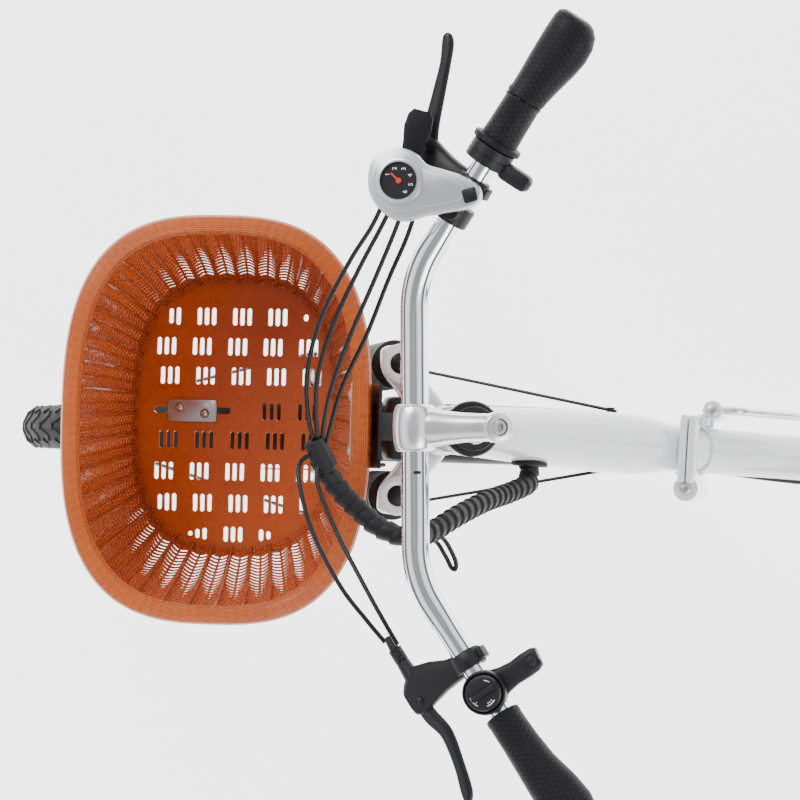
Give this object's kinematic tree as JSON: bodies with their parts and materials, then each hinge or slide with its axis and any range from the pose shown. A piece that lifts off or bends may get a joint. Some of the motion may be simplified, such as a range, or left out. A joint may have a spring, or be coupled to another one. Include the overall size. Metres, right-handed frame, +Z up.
{
  "type": "folding electric bicycle",
  "caption": "White step-through folding electric bicycle with a woven front basket, swept chrome handlebar, disc brakes, fenders and a rear stand.",
  "frame": {"origin": "on the ground under the middle of the wheelbase, which is the bottom centre of the whole bicycle", "axes": "+Z up, the bicycle heads along -X, its right (drive) side is +Y"},
  "size_m": [1.7848, 0.7429, 1.132],
  "materials": {
    "white_paint": "gloss white paint",
    "chrome": "polished chrome",
    "silver_alloy": "satin alloy",
    "brushed_steel": "brushed",
    "black_metal": "satin black paint",
    "black_plastic": "matte black",
    "rubber": "matte black",
    "tyre": "matte black with tread",
    "basket_plastic": "glossy orange-brown weave",
    "saddle_vinyl": "matte black vinyl"
  },
  "bodies": {
    "rear_frame": {"rear_frame": "white_paint", "rear_fender": "black_plastic", "rear_axle": "brushed_steel", "fold_hinge_pin": "brushed_steel", "fold_latch_pin": "brushed_steel", "seat_clamp": "black_metal", "chain": "brushed_steel", "derailleur": "black_metal", "rear_brake_caliper": "black_metal"},
    "fold_latch": {"fold_latch_lever": "silver_alloy"},
    "seat_lever": {"seat_clamp_lever": "silver_alloy"},
    "seat_post": {"seatpost": "chrome", "saddle": "saddle_vinyl"},
    "stand": {"rear_stand": "black_metal"},
    "crank": {"crankset": "silver_alloy", "left_crank_arm": "silver_alloy"},
    "pedal_left": {"left_pedal": "black_plastic"},
    "pedal_right": {"right_pedal": "black_plastic"},
    "wheel_rear": {"rear_tyre": "tyre", "rear_rim": "silver_alloy", "rear_hub": "black_metal", "rear_brake_disc": "brushed_steel"},
    "freewheel": {"freewheel_sprockets": "brushed_steel"},
    "pulley_guide": {"guide_pulley": "black_plastic"},
    "pulley_tension": {"tension_pulley": "black_plastic"},
    "front_frame": {"front_frame": "white_paint", "headset_upper_cup": "black_metal", "battery_pack": "black_plastic", "cable_grommet": "rubber"},
    "steered": {"fork_crown": "white_paint", "quill_stem": "silver_alloy", "stem_bolt": "brushed_steel", "handlebar": "chrome", "headlight": "black_plastic", "basket": "basket_plastic", "basket_bracket": "brushed_steel", "basket_floor_plate": "brushed_steel", "wiring_harness": "rubber", "right_grip": "rubber", "left_grip": "rubber", "throttle_housing": "black_plastic", "right_lever_body": "black_plastic", "left_lever_body": "black_plastic", "shifter_body": "silver_alloy", "switch_housing": "black_plastic"},
    "fork_slider": {"fork_lowers": "black_metal", "front_fender": "black_plastic", "front_axle": "brushed_steel", "front_brake_caliper": "black_metal"},
    "wheel_front": {"front_tyre": "tyre", "front_rim": "silver_alloy", "front_hub": "silver_alloy", "front_brake_disc": "brushed_steel"},
    "brake_right": {"right_brake_lever": "black_metal"},
    "brake_left": {"left_brake_lever": "black_metal"},
    "throttle": {"throttle_sleeve": "rubber"},
    "thumb_lever": {"shift_thumb_lever": "black_plastic"},
    "pointer": {"gear_pointer": "basket_plastic"},
    "light_knob": {"light_switch_knob": "black_plastic"},
    "horn": {"horn_button": "rubber"}
  },
  "joints": [
    {"name": "frame_fold", "type": "hinge", "parent": "rear_frame", "child": "front_frame", "pos_m": [-0.1, -0.041, 0.62], "axis": [0, 0, -1], "range_deg": [-100, 0]},
    {"name": "fold_latch_turn", "type": "hinge", "parent": "rear_frame", "child": "fold_latch", "pos_m": [-0.08, 0.04, 0.62], "axis": [0, 0, 1], "range_deg": [0, 95]},
    {"name": "seat_lever_turn", "type": "hinge", "parent": "rear_frame", "child": "seat_lever", "pos_m": [0.23208, 0, 0.59439], "axis": [0, -1, 0], "range_deg": [0, 110]},
    {"name": "seat_post_slide", "type": "slide", "parent": "rear_frame", "child": "seat_post", "axis": [0.309, 0, 0.9511], "range_m": [-0.08, 0.06]},
    {"name": "stand_swing", "type": "hinge", "parent": "rear_frame", "child": "stand", "pos_m": [0.55, 0, 0.355], "axis": [0, -1, 0], "range_deg": [0, 100]},
    {"name": "crank_spin", "type": "hinge", "parent": "rear_frame", "child": "crank", "pos_m": [0.105, 0, 0.3], "axis": [0, 1, 0], "continuous": true},
    {"name": "left_pedal_spin", "type": "hinge", "parent": "crank", "child": "pedal_left", "pos_m": [0.105, 0, 0.465], "axis": [0, 1, 0], "continuous": true},
    {"name": "right_pedal_spin", "type": "hinge", "parent": "crank", "child": "pedal_right", "pos_m": [0.105, 0, 0.135], "axis": [0, 1, 0], "continuous": true},
    {"name": "rear_wheel_spin", "type": "hinge", "parent": "rear_frame", "child": "wheel_rear", "pos_m": [0.55, 0, 0.355], "axis": [0, 1, 0], "continuous": true},
    {"name": "freewheel_spin", "type": "hinge", "parent": "rear_frame", "child": "freewheel", "pos_m": [0.55, 0, 0.355], "axis": [0, 1, 0], "continuous": true},
    {"name": "guide_pulley_spin", "type": "hinge", "parent": "rear_frame", "child": "pulley_guide", "pos_m": [0.556, 0.052, 0.285], "axis": [0, 1, 0], "continuous": true},
    {"name": "tension_pulley_spin", "type": "hinge", "parent": "rear_frame", "child": "pulley_tension", "pos_m": [0.528, 0.052, 0.231], "axis": [0, 1, 0], "continuous": true},
    {"name": "steering", "type": "hinge", "parent": "front_frame", "child": "steered", "pos_m": [-0.33832, 0, 0.785], "axis": [0.342, 0, 0.9397], "range_deg": [-40, 40], "deforming": ["wiring_harness"]},
    {"name": "fork_travel", "type": "slide", "parent": "steered", "child": "fork_slider", "axis": [0.342, 0, 0.9397], "range_m": [0, 0.05], "stiffness_N_per_m": 8000, "springref_m": -0.01875},
    {"name": "front_wheel_spin", "type": "hinge", "parent": "fork_slider", "child": "wheel_front", "pos_m": [-0.54997, -0.00181, 0.33499], "axis": [-0.0377, 0.9992, 0.0137], "continuous": true},
    {"name": "right_brake_squeeze", "type": "hinge", "parent": "steered", "child": "brake_right", "pos_m": [-0.30982, 0.24563, 1.08044], "axis": [0.2476, 0.0129, -0.9688], "range_deg": [0, 16], "stiffness_Nm_per_rad": 2, "springref_deg": -11.46},
    {"name": "left_brake_squeeze", "type": "hinge", "parent": "steered", "child": "brake_left", "pos_m": [-0.28777, -0.24919, 1.06609], "axis": [-0.2441, -0.0657, 0.9675], "range_deg": [0, 16], "stiffness_Nm_per_rad": 2, "springref_deg": -11.46},
    {"name": "throttle_twist", "type": "hinge", "parent": "steered", "child": "throttle", "pos_m": [-0.24835, 0.24999, 1.09621], "axis": [-0.5002, -0.8547, -0.1392], "range_deg": [0, 60], "stiffness_Nm_per_rad": 0.3, "springref_deg": -11.46},
    {"name": "thumb_push", "type": "hinge", "parent": "steered", "child": "thumb_lever", "pos_m": [-0.32876, 0.21264, 1.09966], "axis": [0.0008, -0.0239, 0.9997], "range_deg": [0, 45]},
    {"name": "pointer_turn", "type": "hinge", "parent": "steered", "child": "pointer", "pos_m": [-0.32874, 0.21197, 1.12765], "axis": [0.0008, -0.0239, 0.9997], "range_deg": [-140, 0]},
    {"name": "light_knob_turn", "type": "hinge", "parent": "steered", "child": "light_knob", "pos_m": [-0.22708, -0.23599, 1.10162], "axis": [0.0008, -0.0239, 0.9997], "range_deg": [0, 90]},
    {"name": "horn_press", "type": "slide", "parent": "steered", "child": "horn", "axis": [-0.0008, 0.0239, -0.9997], "range_m": [0, 0.0015], "stiffness_N_per_m": 400, "springref_m": -0.001}
  ],
  "couplings": [
    {"joint": "freewheel_spin", "follows": "crank_spin", "ratio": 2.3611},
    {"joint": "guide_pulley_spin", "follows": "crank_spin", "ratio": -3.7946},
    {"joint": "tension_pulley_spin", "follows": "crank_spin", "ratio": 3.7946},
    {"joint": "pointer_turn", "follows": "thumb_push", "ratio": -3}
  ]
}
